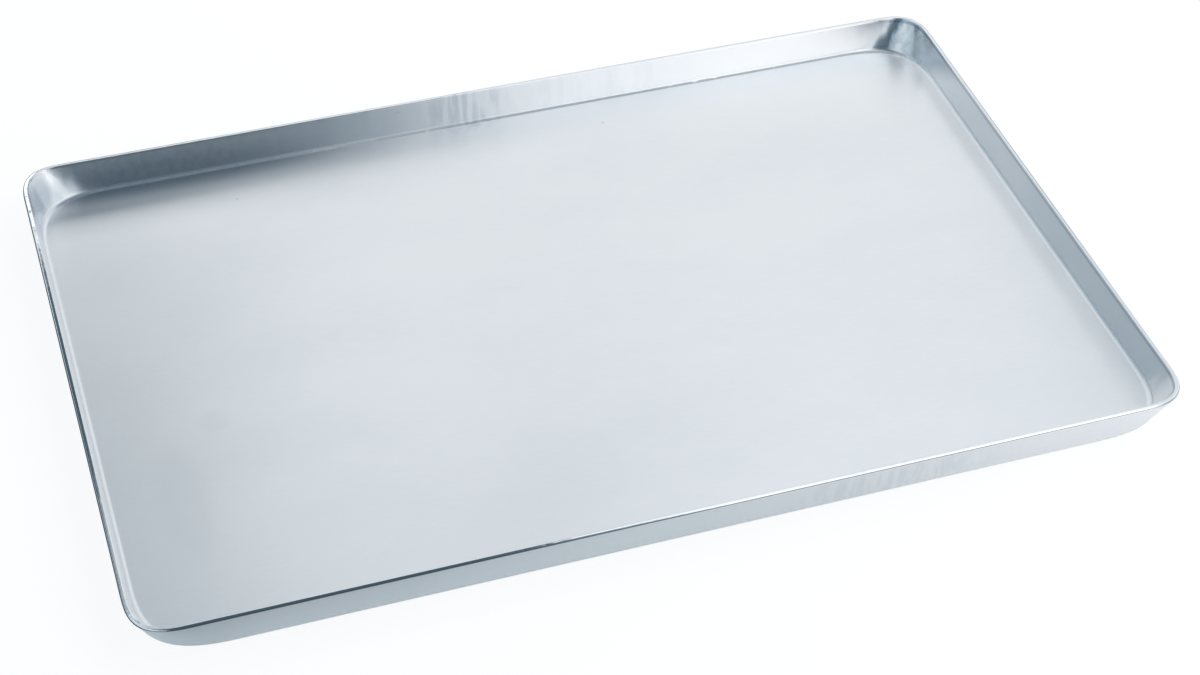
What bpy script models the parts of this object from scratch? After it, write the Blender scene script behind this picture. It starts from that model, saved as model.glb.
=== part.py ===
# Display tray: a shallow rectangular tray drawn in one piece from aluminium sheet.
#
# Metres, +Z up. The origin is the centre of the flat underside, X runs along the
# long side and Y along the short side. The tray is shaped the way it is made: the
# outside of the drawn skin, the rounding at the foot of the wall, the sheet's
# thickness added inwards, the rim trimmed level and its two edges rounded off.

import math

import bmesh
import bpy
from mathutils import Vector

# Overall size, over the outside of the rim
LENGTH = 0.600
WIDTH = 0.400
HEIGHT = 0.024

# Sheet and walls
SHEET = 0.0025
WALL_TAPER = math.radians(9.5)     # lean of the straight walls from upright
FLOOR_FILLET = 0.0024              # inside radius between floor and wall
RIM_LAND = 0.0003                  # flat left on the rim between its rounded edges

# Corners in plan: how far from the corner the bend starts, and how full it is
RIM_CORNER_REACH = 0.0325
FOOT_CORNER_REACH = 0.057          # where the wall's outside meets the underside's plane
CORNER_FULLNESS = 3.0              # 2 is a circular arc, more is squarer

# Facets
CORNER_STEPS = 16                  # in each corner of the plan
FILLET_STEPS = 4                   # across each rounding

# Worked out from the sizes above
EDGE_ROUNDING = (SHEET - RIM_LAND) / 2
RIM_LEVEL = HEIGHT - EDGE_ROUNDING * math.cos(WALL_TAPER)  # where the tray is widest
WALL_SPREAD = RIM_LEVEL * math.tan(WALL_TAPER)             # run of the wall to that level
OUTER_FILLET = FLOOR_FILLET + SHEET
FILLET_TANGENT = OUTER_FILLET * math.tan((math.pi / 2 - WALL_TAPER) / 2)
TRIM_ALLOWANCE = 2 * SHEET                     # skin above the rim before trimming

NODE_NAME = "tray_shell"
ALUMINIUM = (0.80, 0.82, 0.84, 1.0)


def clear_scene():
    for leftover in list(bpy.data.objects):
        bpy.data.objects.remove(leftover, do_unlink=True)


def make_collection(name):
    collection = bpy.data.collections.new(name)
    bpy.context.scene.collection.children.link(collection)
    return collection


def satin_aluminium():
    material = bpy.data.materials.new("satin_aluminium")
    material.use_nodes = True
    surface = material.node_tree.nodes["Principled BSDF"]
    surface.inputs["Base Color"].default_value = ALUMINIUM
    surface.inputs["Metallic"].default_value = 1.0
    surface.inputs["Roughness"].default_value = 0.32
    material.diffuse_color = ALUMINIUM
    return material


def corner_bend(reach):
    """Offsets along X and Y from the inner end of a corner's two reaches to its bend."""
    power = 2 / CORNER_FULLNESS
    bend = []
    for step in range(CORNER_STEPS + 1):
        turn = math.pi / 2 * step / CORNER_STEPS
        bend.append((reach * abs(math.cos(turn)) ** power, reach * abs(math.sin(turn)) ** power))
    return bend


def outline(half_length, half_width, reach, level):
    """Rounded rectangle at one level, anticlockwise from the end of the right-hand side."""
    points = []
    for x_side, y_side in ((1, 1), (-1, 1), (-1, -1), (1, -1)):
        bend = corner_bend(reach)
        if x_side != y_side:
            bend.reverse()
        for along_x, along_y in bend:
            x = x_side * (half_length - reach + along_x)
            y = y_side * (half_width - reach + along_y)
            points.append(Vector((x, y, level)))
    return points


def add_ring(mesh, points):
    """A closed ring of vertices and edges. Returns the edges."""
    corners = [mesh.verts.new(point) for point in points]
    return [mesh.edges.new((corners[i - 1], corners[i])) for i in range(len(corners))]


def drawn_skin(name):
    """Outside surface of floor and walls, open at the top, faces outwards."""
    foot = outline(LENGTH / 2 - WALL_SPREAD, WIDTH / 2 - WALL_SPREAD, FOOT_CORNER_REACH, 0.0)
    rim = outline(LENGTH / 2, WIDTH / 2, RIM_CORNER_REACH, RIM_LEVEL)
    past_rim = (HEIGHT + TRIM_ALLOWANCE) / RIM_LEVEL
    top = [low.lerp(high, past_rim) for low, high in zip(foot, rim)]

    skin = bmesh.new()
    foot_edges = add_ring(skin, foot)
    top_edges = add_ring(skin, top)
    bmesh.ops.bridge_loops(skin, edges=foot_edges + top_edges)
    bmesh.ops.edgeloop_fill(skin, edges=foot_edges)
    bmesh.ops.recalc_face_normals(skin, faces=skin.faces)
    floor = max(skin.faces, key=lambda face: face.calc_area())
    if floor.normal.z > 0:
        bmesh.ops.reverse_faces(skin, faces=skin.faces)

    mesh = bpy.data.meshes.new(name)
    skin.to_mesh(mesh)
    skin.free()
    mesh.shade_smooth()
    return bpy.data.objects.new(name, mesh)


def round_edges(tray, name, width, sharper_than):
    bevel = tray.modifiers.new(name, "BEVEL")
    bevel.limit_method = "ANGLE"
    bevel.angle_limit = sharper_than
    bevel.offset_type = "OFFSET"
    bevel.width = width
    bevel.segments = FILLET_STEPS
    bevel.use_clamp_overlap = True


def thicken(tray):
    sheet = tray.modifiers.new("sheet", "SOLIDIFY")
    sheet.thickness = SHEET
    sheet.offset = -1.0
    sheet.use_even_offset = True
    sheet.use_quality_normals = True
    sheet.use_rim = True


def trimming_block(collection):
    """What the trimming tool takes off: everything above the rim."""
    depth = 4 * TRIM_ALLOWANCE
    bpy.ops.mesh.primitive_cube_add(size=1.0, location=(0.0, 0.0, HEIGHT + depth / 2))
    block = bpy.context.active_object
    block.name = "rim_trim_cutter"
    block.scale = (1.2 * LENGTH, 1.2 * WIDTH, depth)
    bpy.ops.object.transform_apply(location=False, rotation=False, scale=True)
    for holder in list(block.users_collection):
        holder.objects.unlink(block)
    collection.objects.link(block)
    block.display_type = "WIRE"
    block.hide_render = True
    return block


def trim_level(tray, block):
    trim = tray.modifiers.new("trim", "BOOLEAN")
    trim.operation = "DIFFERENCE"
    trim.solver = "EXACT"
    trim.object = block


def build_tray():
    tray_pieces = make_collection("display_tray")
    cutters = make_collection("cutters")

    tray = drawn_skin(NODE_NAME)
    tray_pieces.objects.link(tray)
    tray.data.materials.append(satin_aluminium())
    round_edges(tray, "foot_rounding", FILLET_TANGENT, math.radians(35))
    thicken(tray)
    trim_level(tray, trimming_block(cutters))
    round_edges(tray, "rim_rounding", EDGE_ROUNDING, math.radians(40))


clear_scene()
build_tray()
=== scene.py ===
import math

import bmesh
import bpy
from mathutils import Matrix, Vector


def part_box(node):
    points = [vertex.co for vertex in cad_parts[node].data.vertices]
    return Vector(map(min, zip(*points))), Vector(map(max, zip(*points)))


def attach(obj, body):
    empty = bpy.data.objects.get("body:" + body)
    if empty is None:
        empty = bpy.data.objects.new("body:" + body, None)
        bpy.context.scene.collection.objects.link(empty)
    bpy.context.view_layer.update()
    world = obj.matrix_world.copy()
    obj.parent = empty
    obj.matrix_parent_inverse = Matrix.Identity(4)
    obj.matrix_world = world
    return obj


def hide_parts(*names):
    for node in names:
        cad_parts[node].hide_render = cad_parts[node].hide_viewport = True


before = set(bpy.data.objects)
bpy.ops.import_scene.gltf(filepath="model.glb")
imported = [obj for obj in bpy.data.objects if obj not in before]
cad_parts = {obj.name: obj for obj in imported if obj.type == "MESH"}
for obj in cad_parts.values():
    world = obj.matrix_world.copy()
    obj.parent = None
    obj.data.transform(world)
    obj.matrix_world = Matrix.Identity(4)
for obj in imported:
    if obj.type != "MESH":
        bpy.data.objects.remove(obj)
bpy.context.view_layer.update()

trayLow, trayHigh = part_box("tray_shell")
print("frame loaded, tray box", [round(v, 4) for v in (trayHigh - trayLow)])


def selectNone():
    for item in list(bpy.context.selected_objects):
        item.select_set(False)


def makeActive(item):
    selectNone()
    item.select_set(True)
    bpy.context.view_layer.objects.active = item


def editMode(kind):
    bpy.ops.object.mode_set(mode="EDIT")
    bpy.ops.mesh.select_mode(type=kind)
    bpy.ops.mesh.select_all(action="DESELECT")


def objectMode():
    bpy.ops.object.mode_set(mode="OBJECT")


# Both select in edit mode, by a test on the place and the direction or normal
def selectEdges(item, wanted):
    sheet = bmesh.from_edit_mesh(item.data)
    for edge in sheet.edges:
        start, end = edge.verts[0].co, edge.verts[1].co
        edge.select_set(wanted((start + end) / 2, end - start))
    bmesh.update_edit_mesh(item.data)


def selectFaces(item, wanted):
    sheet = bmesh.from_edit_mesh(item.data)
    for face in sheet.faces:
        face.select_set(wanted(face.calc_center_median(), face.normal))
    bmesh.update_edit_mesh(item.data)


# The tray's shape, in metres and degrees
trayShape = {
    "length": trayHigh.x - trayLow.x,
    "width": trayHigh.y - trayLow.y,
    "height": trayHigh.z - trayLow.z,
    "sheet": 0.0025,
    "wallLean": 9.5,
    "floorRadius": 0.0024,        # inside, between floor and wall
    "outerRounding": 0.0016,      # on the two edges of the trimmed rim
    "innerRounding": 0.0003,
    "rimSwell": 0.00045,          # trimming leaves the rim's inner edge a little swollen
    "swellDepth": 0.0018,
    "rimCornerReach": 0.0325,
    "footCornerReach": 0.057,
    "cornerFullness": 3.0,        # 2 is a circular arc, more is squarer
    "cornerSteps": 40,
    "wallBay": 0.030,             # the straights are cut into bays, each bay into steps
    "bayStep": 0.003,
    "trimmedOff": 0.0025,         # skin past the rim
    "wallRows": 10,               # none of them may meet the level of the trim
    "filletSteps": 8,
    "rimSteps": 5,
    "floorGrid": 0.020,
    "supportLoop": 0.0008,        # beside the rounding, keeps the floor's shading flat
}


# What pressing left in the sheet: flutes in the corner walls, and a floor that isn't dead flat
pressMarks = {
    "corner": 0.060,              # how far each corner's part of the wall reaches
    "cornerFade": 0.036,
    "footFade": (0.003, 0.005),   # where the marks start on the wall, and over what height
    "rimFade": (0.001, 0.010),    # the same down from the rim
    "flutes": {"height": 0.00045, "middle": 0.5, "grain": 0.0060, "stretch": (1.0, 1.0, 7.0)},
    "dents": {"height": 0.00060, "middle": 0.5, "grain": 0.0150, "stretch": (1.0, 1.0, 2.0)},
    "bow": {"height": 0.00040, "middle": 0.0, "grain": 0.110, "stretch": (1.6, 1.0, 1.0)},
    "bowFade": (0.012, 0.050),    # the same for the bow, inwards from the rim
}


def fade(distance, reach):
    share = min(max(distance / reach, 0.0), 1.0)
    return share * share * (3.0 - 2.0 * share)


# Gives each point a weight by its place
def weighPoints(item, name, weigh):
    group = item.vertex_groups.new(name=name)
    for point in item.data.vertices:
        group.add([point.index], weigh(point.co), "REPLACE")
    return name


# Moves weighted points by a soft noise, stretched by the empty that carries it
def ruffle(item, name, mark, direction, group):
    pattern = bpy.data.textures.new(name, "CLOUDS")
    pattern.noise_scale = mark["grain"]
    pattern.noise_depth = 1
    bpy.ops.object.empty_add()
    carrier = bpy.context.active_object
    carrier.scale = mark["stretch"]
    bpy.context.view_layer.update()
    push = item.modifiers.new(name, "DISPLACE")
    push.texture = pattern
    push.texture_coords = "OBJECT"
    push.texture_coords_object = carrier
    push.direction = direction
    push.strength = mark["height"]
    push.mid_level = mark["middle"]
    push.vertex_group = group
    makeActive(item)
    bpy.ops.object.modifier_apply(modifier=name)
    makeActive(carrier)
    bpy.ops.object.delete()
    bpy.data.textures.remove(pattern)


def markPressing(tray, shape, marks):
    def cornerShare(place):
        inwards = (shape["length"] / 2 - abs(place.x), shape["width"] / 2 - abs(place.y))
        foot, rim = marks["footFade"], marks["rimFade"]
        up = fade(place.z - foot[0], foot[1]) * fade(shape["height"] + rim[0] - place.z, rim[1])
        return up * fade(marks["corner"] - max(inwards), marks["cornerFade"])

    def floorShare(place):
        inwards = min(shape["length"] / 2 - abs(place.x), shape["width"] / 2 - abs(place.y))
        return fade(inwards - marks["bowFade"][0], marks["bowFade"][1]) * (place.z < 0.001)

    corners = weighPoints(tray, "cornerWalls", cornerShare)
    floor = weighPoints(tray, "floor", floorShare)
    ruffle(tray, "flutes", marks["flutes"], "NORMAL", corners)
    ruffle(tray, "dents", marks["dents"], "NORMAL", corners)
    ruffle(tray, "bow", marks["bow"], "Z", floor)
    tray.vertex_groups.clear()


# A closed line with the tray's corner curve, its straights cut up for the walls
def addOutline(name, length, width, reach, level, shape):
    bpy.ops.mesh.primitive_plane_add(size=1.0, location=(0.0, 0.0, level))
    line = bpy.context.active_object
    line.name = name
    line.scale = (length, width, 1.0)
    bpy.ops.object.transform_apply(location=True, rotation=True, scale=True)
    editMode("VERT")
    bpy.ops.mesh.select_all(action="SELECT")
    bpy.ops.mesh.bevel(
        offset=reach,
        affect="VERTICES",
        segments=shape["cornerSteps"],
        profile=0.5 ** (2 / shape["cornerFullness"]),
    )
    bpy.ops.mesh.delete(type="ONLY_FACE")
    bpy.ops.mesh.select_mode(type="EDGE")
    for along, span in ((0, shape["length"]), (1, shape["width"])):
        bays = round(span / shape["wallBay"])
        steps = round(shape["wallBay"] / shape["bayStep"])
        for cuts, longest in ((bays, span / 2), (steps, span / 2 / bays)):
            selectEdges(line, lambda middle, run: abs(run[1 - along]) < 1e-6
                        and abs(run[along]) > longest)
            bpy.ops.mesh.subdivide(number_cuts=cuts - 1)
    objectMode()
    return line


def modelTray(shape):
    lean = math.radians(shape["wallLean"])
    rimLevel = shape["height"] - shape["outerRounding"] * math.cos(lean)  # where the tray is widest
    topLevel = shape["height"] + shape["trimmedOff"]
    past = topLevel / rimLevel
    footSpread = rimLevel * math.tan(lean)
    topSpread = (topLevel - rimLevel) * math.tan(lean)
    topReach = shape["footCornerReach"] + (shape["rimCornerReach"] - shape["footCornerReach"]) * past
    setback = (shape["floorRadius"] + shape["sheet"]) * math.tan((math.pi / 2 - lean) / 2)

    # The outside: an outline at the foot, one past the rim, and the wall bridged between them
    selectNone()
    tray = addOutline("displayTray", shape["length"] - 2 * footSpread, shape["width"] - 2 * footSpread,
                      shape["footCornerReach"], 0.0, shape)
    top = addOutline("topOutline", shape["length"] + 2 * topSpread, shape["width"] + 2 * topSpread,
                     topReach, topLevel, shape)
    makeActive(tray)
    top.select_set(True)
    bpy.ops.object.join()
    editMode("EDGE")
    bpy.ops.mesh.select_all(action="SELECT")
    bpy.ops.mesh.bridge_edge_loops()
    selectEdges(tray, lambda middle, run: middle.z < 1e-5)
    bpy.ops.mesh.edge_face_add()

    # Rounding at the foot of the wall, and a support loop on the floor beside it
    selectEdges(tray, lambda middle, run: middle.z < 1e-5)
    bpy.ops.mesh.bevel(offset=setback, affect="EDGES", segments=shape["filletSteps"], profile=0.5)
    bpy.ops.mesh.select_mode(type="FACE")
    selectFaces(tray, lambda middle, normal: middle.z < 1e-5 and middle.xy.length < 0.01)
    bpy.ops.mesh.inset(thickness=shape["supportLoop"])

    # Floor cut into a grid, with the rest hidden
    bpy.ops.mesh.hide(unselected=True)
    for axis, span in ((0, shape["length"]), (1, shape["width"])):
        cuts = round(span / shape["floorGrid"])
        across = Vector((1.0 - axis, axis, 0.0))
        for cut in range(1, cuts):
            bpy.ops.mesh.select_all(action="SELECT")
            bpy.ops.mesh.bisect(plane_co=across * span * (cut / cuts - 0.5), plane_no=across)
    bpy.ops.mesh.reveal(select=False)

    # Wall cut into rows
    bpy.ops.mesh.select_mode(type="EDGE")
    selectEdges(tray, lambda middle, run: abs(run.z) > 0.5 * shape["height"])
    bpy.ops.mesh.subdivide(number_cuts=shape["wallRows"] - 1)
    bpy.ops.mesh.select_all(action="SELECT")
    bpy.ops.mesh.normals_make_consistent(inside=False)
    objectMode()
    markPressing(tray, shape, pressMarks)
    print("outside skin:", len(tray.data.vertices), "points")

    # The sheet's thickness, added inwards, its top left open for the trim
    thickness = tray.modifiers.new("sheetThickness", "SOLIDIFY")
    thickness.thickness = shape["sheet"]
    thickness.offset = -1.0
    thickness.use_even_offset = True
    thickness.use_quality_normals = True
    thickness.use_rim = False
    makeActive(tray)
    bpy.ops.object.modifier_apply(modifier=thickness.name)

    # Trimmed level, with a line where the swelling starts, and the two edges joined by a flat rim
    editMode("FACE")
    for level, trimmed in ((shape["height"] - shape["swellDepth"], False), (shape["height"], True)):
        bpy.ops.mesh.select_all(action="SELECT")
        bpy.ops.mesh.bisect(plane_co=(0.0, 0.0, level), plane_no=(0.0, 0.0, 1.0), clear_outer=trimmed,
                            threshold=1e-7)
    bpy.ops.mesh.select_mode(type="EDGE")
    atRim = shape["height"] - 1e-5
    selectEdges(tray, lambda middle, run: middle.z > atRim)
    bpy.ops.mesh.bridge_edge_loops()
    bpy.ops.mesh.select_all(action="SELECT")
    bpy.ops.mesh.normals_make_consistent(inside=False)

    # The rim's outer edge is rounded first, so that the next sharp edge is its inner one
    inwards = [1.0 - 2 * shape["rimSwell"] / span for span in (shape["length"], shape["width"])]
    for sharperThan, moved, rounding in ((90.0, (1.0, 1.0), shape["outerRounding"]),
                                         (60.0, inwards, shape["innerRounding"])):
        bpy.ops.mesh.select_all(action="DESELECT")
        bpy.ops.mesh.edges_select_sharp(sharpness=math.radians(sharperThan))
        bpy.ops.transform.resize(value=(*moved, 1.0), center_override=(0.0, 0.0, 0.0))
        bpy.ops.mesh.bevel(offset=rounding, affect="EDGES", segments=shape["rimSteps"], profile=0.5)
    objectMode()
    bpy.ops.object.shade_smooth()
    print("tray sheet:", len(tray.data.vertices), "points")
    return tray


tray = modelTray(trayShape)


def addNode(tree, kind, inputs, **settings):
    node = tree.nodes.new("ShaderNode" + kind)
    for name, value in settings.items():
        setattr(node, name, value)
    for name, value in inputs.items():
        if isinstance(value, bpy.types.NodeSocket):
            tree.links.new(value, node.inputs[name])
        else:
            node.inputs[name].default_value = value
    return node


# Mixes two colours, or an output and a colour
def tinted(tree, share, first, second):
    if not isinstance(first, bpy.types.NodeSocket):
        first = (*first, 1.0)
    if not isinstance(second, bpy.types.NodeSocket):
        second = (*second, 1.0)
    return addNode(tree, "Mix", {"Factor": share, "A": first, "B": second},
                   data_type="RGBA").outputs["Result"]


# Satin aluminium: lengths in metres, shares from 0 to 1
aluminium = {
    "colour": (0.895, 0.910, 0.930),
    "dullColour": (0.785, 0.812, 0.845),
    "anisotropy": 0.62,
    "floorRoughness": 0.34,
    "wallRoughness": 0.24,
    "rimRoughness": 0.08,
    "wallStarts": (0.0030, 0.0055),       # levels between which floor turns to wall
    "rimStarts": (0.0224, 0.0231),
    "dullShare": 0.12,
    "grain": {"size": (0.0110, 0.0006, 0.0025), "colour": 0.7, "roughness": 0.03},
    "clouds": {"size": (0.1400, 0.0800, 0.1000), "colour": 1.0, "roughness": 0.03},
    "mottle": {"size": (0.0016, 0.0016, 0.0030), "colour": 0.3, "roughness": 0.03},
    "streaks": {"size": (0.0022, 0.0022, 0.0700), "patch": 0.055, "patchEdge": (0.38, 0.66),
                "depth": 0.000012, "roughness": 0.04},
    "bands": {"size": (0.0100, 0.0100, 0.1500), "depth": 0.000060},
    "dents": {"size": (0.0070, 0.0070, 0.0110), "from": (0.325, 0.345), "depth": 0.00022},
    # The flat top of the rim, rougher than its edges except along the left
    "land": {"facing": (0.960, 0.995), "from": (-0.296, -0.285), "roughness": 0.24},
    # How the marks below are broken up and fade out, and the colour of the soil in them and of the painted
    # shade
    "drawn": {"size": (0.0042, 0.0042, 0.0800), "detail": 2.0, "seed": 17.0},
    "cloudy": {"size": (0.0050, 0.0050, 0.0060), "detail": 4.0, "seed": 19.0},
    "broken": (0.42, 0.62),
    "markFade": (1.0, 0.35),
    "soilAndShadeColour": (0.36, 0.44, 0.52),
    # Painted shade along the crease at the foot of the back wall, with added roughness, and a painted dark
    # reflection on the rim's outer edge at the back and the right
    "creaseShade": {"levels": (0.00252, 0.00260, 0.00310, 0.00380), "from": (0.180, 0.187),
              "breaks": (0.0080, 0.0040, 0.0040), "broken": (0.24, 0.40),
              "roughness": 0.40, "soilAndShade": 0.30},
    "rimDarkReflection": {"back": (0.175, 0.190), "right": (0.270, 0.287), "facing": (0.97, 0.90),
                "outside": (0.03, 0.06), "backDarkReflection": 0.50, "rightDarkReflection": 0.85},
    # A painted shade line just below the rim, inside the right wall
    "rimShadeLine": {"levels": (0.0208, 0.0216, 0.0226, 0.0232), "right": (0.270, 0.285),
                 "inside": (0.0, -0.05), "soilAndShade": 0.68},
}

# Marks of drawing and use: place, reach, pattern, share of soil and added roughness
marks = {
    "backBands": ((-0.016, 0.197, 0.014), (0.036, 0.020, 0.022), "drawn", 0.30, 0.02),
    "backBandsFaint": ((0.075, 0.197, 0.014), (0.080, 0.020, 0.022), "drawn", 0.05, 0.01),
    "backTarnish": ((-0.220, 0.196, 0.005), (0.140, 0.020, 0.018), "plain", 0.48, 0.0),
    "backBloom": ((-0.215, 0.197, 0.016), (0.110, 0.020, 0.020), "cloudy", 0.14, 0.02),
    "frontStreaks": ((0.120, -0.200, 0.012), (0.080, 0.020, 0.022), "drawn", 0.12, 0.02),
    "cornerRight": ((0.290, 0.183, 0.012), (0.026, 0.026, 0.022), "cloudy", 0.27, 0.04),
    "cornerLeft": ((-0.2885, 0.187, 0.012), (0.0080, 0.015, 0.022), "plain", 0.40, 0.02),
    "stain": ((-0.254, -0.093, 0.0025), (0.020, 0.060, 0.010), "plain", 0.06, 0.0),
    "smudge": ((-0.226, -0.033, 0.0025), (0.014, 0.012, 0.010), "plain", 0.06, 0.0),
    "speckLeft": ((-0.173, 0.160, 0.0025), (0.0014, 0.0012, 0.010), "plain", 0.28, 0.1),
    "speckRight": ((0.069, 0.169, 0.0025), (0.0014, 0.0012, 0.010), "plain", 0.28, 0.1),
    "backScratch": ((-0.0615, 0.199, 0.0185), (0.0050, 0.010, 0.0004), "plain", 0.45, 0.1),
}


def satinAluminium(look, marks):
    metal = bpy.data.materials.new("satinAluminium")
    metal.use_nodes = True
    tree = metal.node_tree
    surface = tree.nodes["Principled BSDF"]
    surface.inputs["Metallic"].default_value = 1.0
    surface.inputs["Anisotropic"].default_value = look["anisotropy"]
    place = addNode(tree, "TexCoord", {}).outputs["Object"]
    apart = addNode(tree, "SeparateXYZ", {"Vector": place}).outputs
    level = apart["Z"]

    def vector(operation, first, second=(0.0, 0.0, 0.0), result="Vector"):
        return addNode(tree, "VectorMath", {0: first, 1: second}, operation=operation).outputs[result]

    def noise(size, detail=2.0, seed=0.0):
        if isinstance(size, float):
            size = (size, size, size)
        scaled = vector("MULTIPLY", place, [1.0 / run for run in size])
        moved = vector("ADD", scaled, (seed, 2 * seed, 3 * seed))
        return addNode(tree, "TexNoise", {"Vector": moved, "Scale": 1.0, "Detail": detail,
                                          "Roughness": 0.55}).outputs["Fac"]

    def ramp(value, start, end, low=0.0, high=1.0):
        return addNode(tree, "MapRange", {"Value": value, "From Min": start, "From Max": end,
                                          "To Min": low, "To Max": high},
                       interpolation_type="SMOOTHSTEP").outputs["Result"]

    def sums(operation, first, second):
        return addNode(tree, "Math", {0: first, 1: second}, operation=operation).outputs["Value"]

    def mixed(share, first, second):
        return addNode(tree, "Mix", {"Factor": share, "A": first, "B": second}).outputs["Result"]

    wall = ramp(level, *look["wallStarts"])
    rim = ramp(level, *look["rimStarts"])
    flat = sums("SUBTRACT", 1.0, wall)

    # Shares, about 0.5 in the middle: rolling grain on the floor, draw marks on the walls
    grain = noise(look["grain"]["size"], detail=3.0)
    clouds = noise(look["clouds"]["size"], detail=3.0, seed=3.0)
    mottle = noise(look["mottle"]["size"], detail=2.0, seed=7.0)
    streaks = noise(look["streaks"]["size"], detail=2.0, seed=11.0)
    patches = noise(look["streaks"]["patch"], detail=1.0, seed=5.0)
    patches = ramp(patches, *look["streaks"]["patchEdge"])
    bands = noise(look["bands"]["size"], detail=1.0, seed=13.0)

    # Soil and added roughness of every mark
    patterns = {"plain": 1.0}
    for pattern in ("drawn", "cloudy"):
        patterns[pattern] = ramp(noise(**look[pattern]), *look["broken"])
    soilAndShade, scuffed = 0.0, 0.0
    for at, reach, pattern, dirt, wear in marks.values():
        offset = vector("DIVIDE", vector("SUBTRACT", place, at), reach)
        away = vector("LENGTH", offset, result="Value")
        share = sums("MULTIPLY", ramp(away, *look["markFade"]), patterns[pattern])
        soilAndShade = sums("ADD", soilAndShade, sums("MULTIPLY", share, dirt))
        scuffed = sums("ADD", scuffed, sums("MULTIPLY", share, wear))

    def lineBetween(levels):
        return sums("MULTIPLY", ramp(level, *levels[:2]), ramp(level, *levels[:1:-1]))

    # Painted shade along the crease at the foot of the back wall, with added roughness
    creaseShade = look["creaseShade"]
    line = sums("MULTIPLY", lineBetween(creaseShade["levels"]), ramp(apart["Y"], *creaseShade["from"]))
    line = sums("MULTIPLY", line, ramp(noise(creaseShade["breaks"], seed=23.0), *creaseShade["broken"]))
    soilAndShade = sums("ADD", soilAndShade, sums("MULTIPLY", line, creaseShade["soilAndShade"]))
    scuffed = sums("ADD", scuffed, sums("MULTIPLY", line, creaseShade["roughness"]))

    # Painted dark reflection on the outside of the rim's edge at the back and the right
    facing = addNode(tree, "NewGeometry", {}).outputs["Normal"]
    upwards = addNode(tree, "SeparateXYZ", {"Vector": facing}).outputs["Z"]
    outwards = vector("DOT_PRODUCT", facing, place, result="Value")
    cut = look["rimDarkReflection"]
    far = sums("MAXIMUM", ramp(apart["Y"], *cut["back"], high=cut["backDarkReflection"]),
               ramp(apart["X"], *cut["right"], high=cut["rightDarkReflection"]))
    edge = sums("MULTIPLY", sums("MULTIPLY", rim, far), ramp(upwards, *cut["facing"]))
    soilAndShade = sums("ADD", soilAndShade, sums("MULTIPLY", edge, ramp(outwards, *cut["outside"])))

    # The painted shade line below the rim, and the flat top of the rim
    shadeBelowRim = look["rimShadeLine"]
    line = sums("MULTIPLY", lineBetween(shadeBelowRim["levels"]), ramp(apart["X"], *shadeBelowRim["right"]))
    line = sums("MULTIPLY", line, ramp(outwards, *shadeBelowRim["inside"]))
    soilAndShade = sums("ADD", soilAndShade, sums("MULTIPLY", line, shadeBelowRim["soilAndShade"]))
    top = look["land"]
    land = sums("MULTIPLY", rim, ramp(upwards, *top["facing"]))
    land = sums("MULTIPLY", land, ramp(apart["X"], *top["from"]))
    scuffed = sums("ADD", scuffed, sums("MULTIPLY", land, top["roughness"]))

    def swing(value, reach):
        return sums("MULTIPLY", sums("SUBTRACT", value, 0.5), reach)

    # Roughness
    rough = mixed(wall, look["floorRoughness"], look["wallRoughness"])
    rough = mixed(rim, rough, look["rimRoughness"])
    rough = sums("ADD", rough, sums("MULTIPLY", flat, swing(grain, look["grain"]["roughness"])))
    rough = sums("ADD", rough, sums("MULTIPLY", flat, swing(clouds, look["clouds"]["roughness"])))
    rough = sums("ADD", rough, sums("MULTIPLY", wall, swing(streaks, look["streaks"]["roughness"])))
    rough = sums("ADD", rough, sums("MULTIPLY", wall, swing(mottle, look["mottle"]["roughness"])))
    tree.links.new(sums("ADD", rough, scuffed), surface.inputs["Roughness"])

    # Colour: the share of the duller tone
    dull = sums("MULTIPLY", flat, swing(grain, look["grain"]["colour"]))
    dull = sums("ADD", look["dullShare"], dull)
    dull = sums("ADD", dull, swing(clouds, look["clouds"]["colour"]))
    dull = sums("ADD", dull, sums("MULTIPLY", wall, swing(mottle, look["mottle"]["colour"])))
    tone = tinted(tree, dull, look["colour"], look["dullColour"])
    # Soil of the marks, and the painted shade along the back crease, on the rim's outer edge and below the
    # rim
    tone = tinted(tree, soilAndShade, tone, look["soilAndShadeColour"])
    tree.links.new(tone, surface.inputs["Base Color"])

    # Across the grain, which runs along X and is folded up with the end walls
    across = vector("CROSS_PRODUCT", (1.0, 0.0, 0.0), facing)
    tree.links.new(across, surface.inputs["Tangent"])

    # Relief of the walls, with small dents in their corners
    relief = sums("MULTIPLY", sums("MULTIPLY", streaks, patches), look["streaks"]["depth"])
    relief = sums("ADD", relief, sums("MULTIPLY", bands, look["bands"]["depth"]))
    dents = look["dents"]
    corner = ramp(vector("LENGTH", place, result="Value"), *dents["from"])
    dented = sums("MULTIPLY", noise(dents["size"], seed=29.0), dents["depth"])
    relief = sums("ADD", relief, sums("MULTIPLY", corner, dented))
    relief = sums("MULTIPLY", relief, wall)
    bump = addNode(tree, "Bump", {"Height": relief, "Distance": 1.0, "Strength": 1.0})
    tree.links.new(bump.outputs["Normal"], surface.inputs["Normal"])
    return metal


tray.data.materials.append(satinAluminium(aluminium, marks))
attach(tray, "root")
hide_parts("tray_shell")


# Camera, at the photograph's viewing angle: lens in millimetres, angles in degrees, metres elsewhere
cameraView = {
    "lens": 75.10,
    "shift": -0.03525,
    "turn": 19.62,
    "down": 41.80,
    "roll": 1.64,
    "lookAt": (0.0279, -0.0343, 0.0),
    "distance": 1.4748,
    "film": 36.0,
}


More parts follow.
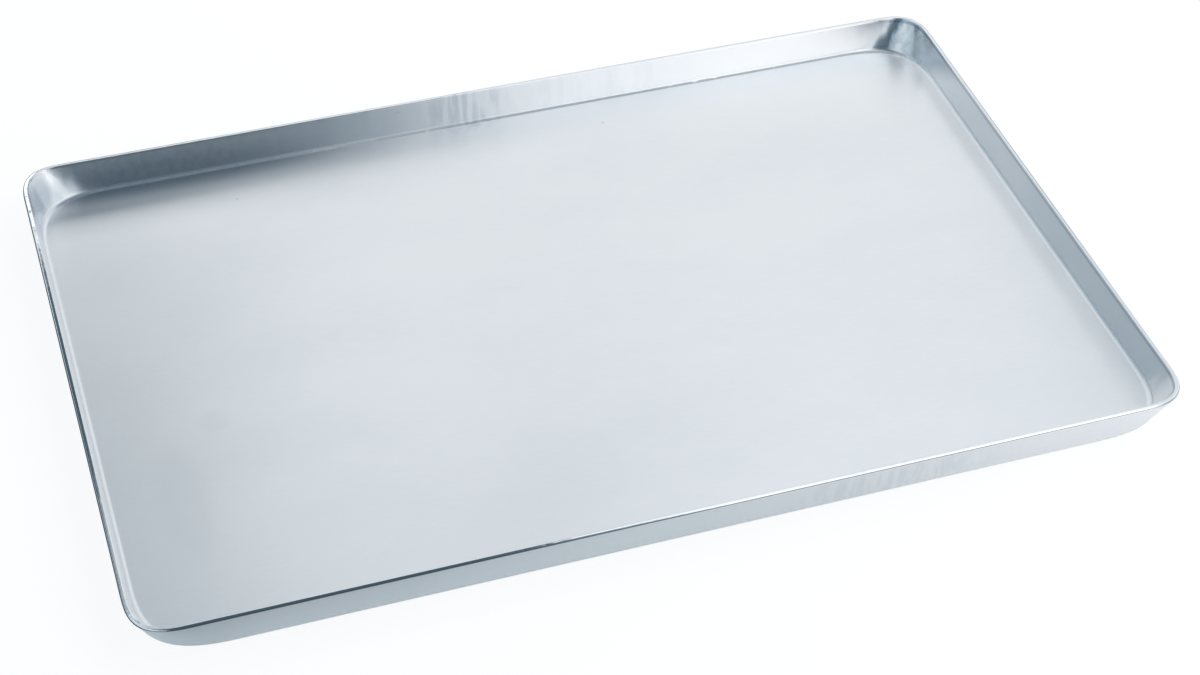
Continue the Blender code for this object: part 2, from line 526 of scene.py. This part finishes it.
def placeCamera(view):
    bpy.ops.object.camera_add()
    camera = bpy.context.active_object
    camera.name = "photoCamera"
    aim = (Matrix.Rotation(-math.radians(view["turn"]), 4, "Z")
           @ Matrix.Rotation(math.radians(90.0 - view["down"]), 4, "X")
           @ Matrix.Rotation(math.radians(view["roll"]), 4, "Z"))
    back = Matrix.Translation((0.0, 0.0, view["distance"]))
    camera.matrix_world = Matrix.Translation(Vector(view["lookAt"])) @ aim @ back
    camera.data.sensor_width = view["film"]
    camera.data.lens = view["lens"]
    camera.data.shift_x = view["shift"]
    bpy.context.scene.camera = camera
    return camera


camera = placeCamera(cameraView)
print("camera at", [round(place, 3) for place in camera.matrix_world.translation])


# The stage: a pale floor, which the camera sees as white with the tray's shadow on it
stageLook = {
    "size": 12.0,
    "drop": 0.0002,                # just below the tray's underside
    "paint": 0.8,
    "darkPaint": 0.02,             # of the dark cloth that only the metal sees
    "clothFront": (-0.285, -0.205),    # its soft edge in front of the tray, and how it slants
    "clothSlant": 0.10,
    # On the left the dark cloth is painted shade, lying where the table beside the tray's left wall is in
    # shade
    "leftShadeCloth": (-0.310, -0.303),     # its edge on the left
    "shownPaint": 0.24,            # what is left of the paint under the white that the camera sees
    "shownWhite": 0.85,
    "plainWhite": (0.7, 1.0),      # between these distances the floor turns plain white
    # A painted glow on the rest of the table, from left to right across the tray, which only the metal
    # sees
    "glowReach": 0.3,
    "glow": {0.05: (0.215, 0.250, 0.270), 0.30: (0.175, 0.203, 0.215), 0.50: (0.200, 0.220, 0.228),
             0.90: (0.330, 0.330, 0.332)},
}


def layStage(look):
    bpy.ops.mesh.primitive_plane_add(size=look["size"], location=(0.0, 0.0, -look["drop"]))
    floor = bpy.context.active_object
    floor.name = "studioFloor"
    paint = bpy.data.materials.new("studioWhite")
    paint.use_nodes = True
    tree = paint.node_tree
    tree.nodes.clear()
    rays = addNode(tree, "LightPath", {}).outputs
    spot = addNode(tree, "TexCoord", {}).outputs["Object"]
    place = addNode(tree, "SeparateXYZ", {"Vector": spot}).outputs

    def sums(operation, first, second, third=0.0):
        return addNode(tree, "Math", {0: first, 1: second, 2: third}, operation=operation).outputs["Value"]

    def ramp(value, start, end, low=0.0, high=1.0, kind="SMOOTHSTEP"):
        return addNode(tree, "MapRange", {"Value": value, "From Min": start, "From Max": end,
                                          "To Min": low, "To Max": high},
                       interpolation_type=kind).outputs["Result"]

    # Where the table is bare, the dark cloth beside the left wall being painted shade, and the table's
    # painted glow there
    slant = sums("MULTIPLY_ADD", place["X"], look["clothSlant"], place["Y"])
    bare = sums("MULTIPLY", ramp(slant, *look["clothFront"]), ramp(place["X"], *look["leftShadeCloth"]))
    grey = [[look[name]] * 3 for name in ("darkPaint", "paint", "shownPaint")]
    table = tinted(tree, bare, grey[0], grey[1])
    along = ramp(place["X"], -look["glowReach"], look["glowReach"], kind="LINEAR")
    shades = addNode(tree, "ValToRGB", {"Fac": along})
    shades.color_ramp.interpolation = "EASE"
    for at, shade in look["glow"].items():
        shades.color_ramp.elements.new(at).color = (*shade, 1.0)
    for end in (-1, 0):
        shades.color_ramp.elements.remove(shades.color_ramp.elements[end])

    # What the camera sees, and what the metal sees
    away = addNode(tree, "VectorMath", {0: spot}, operation="LENGTH").outputs["Value"]
    shown = ramp(away, *look["plainWhite"], low=look["shownWhite"])
    seenThrough = sums("MAXIMUM", rays["Is Glossy Ray"], rays["Is Transmission Ray"])
    inMetal = sums("MULTIPLY", seenThrough, bare)
    white = sums("MULTIPLY_ADD", rays["Is Camera Ray"], shown, inMetal)
    tone = tinted(tree, rays["Is Camera Ray"], table, grey[2])
    glowTone = tinted(tree, rays["Is Camera Ray"], shades.outputs["Color"], (1.0, 1.0, 1.0))
    matt = addNode(tree, "BsdfDiffuse", {"Color": tone}).outputs["BSDF"]
    shine = addNode(tree, "Emission", {"Color": glowTone, "Strength": white}).outputs["Emission"]
    both = addNode(tree, "AddShader", {0: matt, 1: shine}).outputs["Shader"]
    addNode(tree, "OutputMaterial", {"Surface": both})
    floor.data.materials.append(paint)
    return floor


studioFloor = layStage(stageLook)


# A light tent of soft panels round the tray, a metre off and open at the front where the camera
# stands. Each hangs in one side of the tent, reaches this far along and up it (along and back in
# the top), and shows this much white in one of the tints.
tent = {"reach": 1.0, "height": 1.1, "strength": 0.92}
tints = {
    "warm": (1.06, 1.0, 0.94),
    "pale": (1.02, 1.0, 0.98),
    "plain": (1.0, 1.0, 1.0),
    "cool": (0.93, 1.0, 1.04),
    "cooler": (0.87, 1.0, 1.07),
    "bluest": (0.66, 1.0, 1.25),
}
tentPanels = {
    "back": {
        "low": ((-1.0, -0.1), (0.0, 0.3), 0.10, "cooler"),
        "left": ((-1.0, -0.55), (0.3, 0.7), 0.68, "cooler"),
        "glow": ((-0.55, -0.1), (0.36, 0.72), 1.44, "pale"),
        "main": ((-0.1, 1.0), (0.25, 1.1), 0.90, "pale"),
        "lowRight": ((-0.1, 1.0), (0.0, 0.25), 0.50, "cool"),
    },
    "top": {
        "backLeft": ((-1.0, -0.2), (0.75, 1.0), 0.40, "cool"),
        "middleLeft": ((-1.0, -0.2), (0.4, 0.75), 0.76, "cool"),
        "left": ((-1.0, -0.65), (-1.0, 0.4), 0.76, "cooler"),
        "leftEdge": ((-0.65, -0.48), (-1.0, 0.4), 0.59, "cooler"),
        "glow": ((-0.2, 0.15), (0.38, 0.65), 1.31, "plain"),
        "back": ((-0.2, 1.0), (0.65, 1.0), 0.83, "plain"),
        "middleRight": ((0.2, 1.0), (0.1, 0.65), 0.82, "plain"),
        "right": ((0.15, 1.0), (-0.6, 0.1), 1.25, "plain"),
        "frontRight": ((0.3, 1.0), (-1.0, -0.6), 0.70, "plain"),
    },
    "front": {
        "lowLeft": ((-1.0, -0.5), (0.0, 0.4), 0.76, "cool"),
        "farLeft": ((-1.0, -0.70), (0.4, 1.1), 0.50, "cooler"),
        "left": ((-0.70, -0.42), (0.4, 1.1), 0.205, "bluest"),
        "edge": ((0.1, 0.24), (0.0, 1.1), 0.16, "bluest"),
        "keyLeft": ((0.24, 0.55), (0.12, 1.1), 1.38, "pale"),
        "key": ((0.55, 1.0), (0.4, 1.1), 1.89, "warm"),
        "keyLow": ((0.55, 1.0), (0.0, 0.4), 0.91, "pale"),
    },
    "left": {
        "front": ((-1.0, -0.4), (0.0, 1.1), 0.70, "cool"),
        "middle": ((-0.4, 0.3), (0.2, 1.1), 0.62, "cooler"),
        "back": ((0.3, 1.0), (0.2, 1.1), 0.30, "cooler"),
    },
    "right": {
        "main": ((-1.0, 0.6), (0.3, 1.1), 1.00, "plain"),
        "low": ((-1.0, 1.0), (0.0, 0.3), 0.85, "plain"),
        "back": ((0.6, 1.0), (0.3, 1.1), 0.34, "cool"),
    },
}


def hangPanel(side, name, along, up, white, tint):
    middle = [sum(along) / 2, sum(up) / 2]
    place, inwards = {
        "back": ((middle[0], tent["reach"], middle[1]), (0.0, -1.0, 0.0)),
        "front": ((middle[0], -tent["reach"], middle[1]), (0.0, 1.0, 0.0)),
        "left": ((-tent["reach"], middle[0], middle[1]), (1.0, 0.0, 0.0)),
        "right": ((tent["reach"], middle[0], middle[1]), (-1.0, 0.0, 0.0)),
        "top": ((middle[0], middle[1], tent["height"]), (0.0, 0.0, -1.0)),
    }[side]
    bpy.ops.object.light_add(type="AREA", location=place)
    lamp = bpy.context.active_object
    lamp.name = side + name.capitalize()
    lamp.rotation_euler = Vector(inwards).to_track_quat("-Z", "Y").to_euler()
    lamp.data.shape = "RECTANGLE"
    lamp.data.size = along[1] - along[0]
    lamp.data.size_y = up[1] - up[0]
    lamp.data.energy = math.pi * lamp.data.size * lamp.data.size_y * white * tent["strength"]
    lamp.data.color = tints[tint]
    return lamp


for side, panels in tentPanels.items():
    for name, panel in panels.items():
        hangPanel(side, name, *panel)
print("stage and", sum(len(panels) for panels in tentPanels.values()), "light panels")


# The world: white behind everything for the camera, a faint fill for the rest
worldLook = {"fill": 0.10, "tint": (0.58, 1.0, 1.30)}


def surround(look):
    world = bpy.data.worlds.new("studioWorld")
    world.use_nodes = True
    tree = world.node_tree
    rays = addNode(tree, "LightPath", {}).outputs
    fill = tree.nodes["Background"]
    fill.inputs["Color"].default_value = (*look["tint"], 1.0)
    fill.inputs["Strength"].default_value = look["fill"]
    white = addNode(tree, "Background", {"Color": (1.0, 1.0, 1.0, 1.0), "Strength": 1.0})
    both = addNode(tree, "MixShader", {0: rays["Is Camera Ray"], 1: fill.outputs["Background"],
                                       2: white.outputs["Background"]})
    tree.links.new(both.outputs["Shader"], tree.nodes["World Output"].inputs["Surface"])
    bpy.context.scene.world = world


surround(worldLook)
bpy.context.scene.view_settings.view_transform = "Standard"
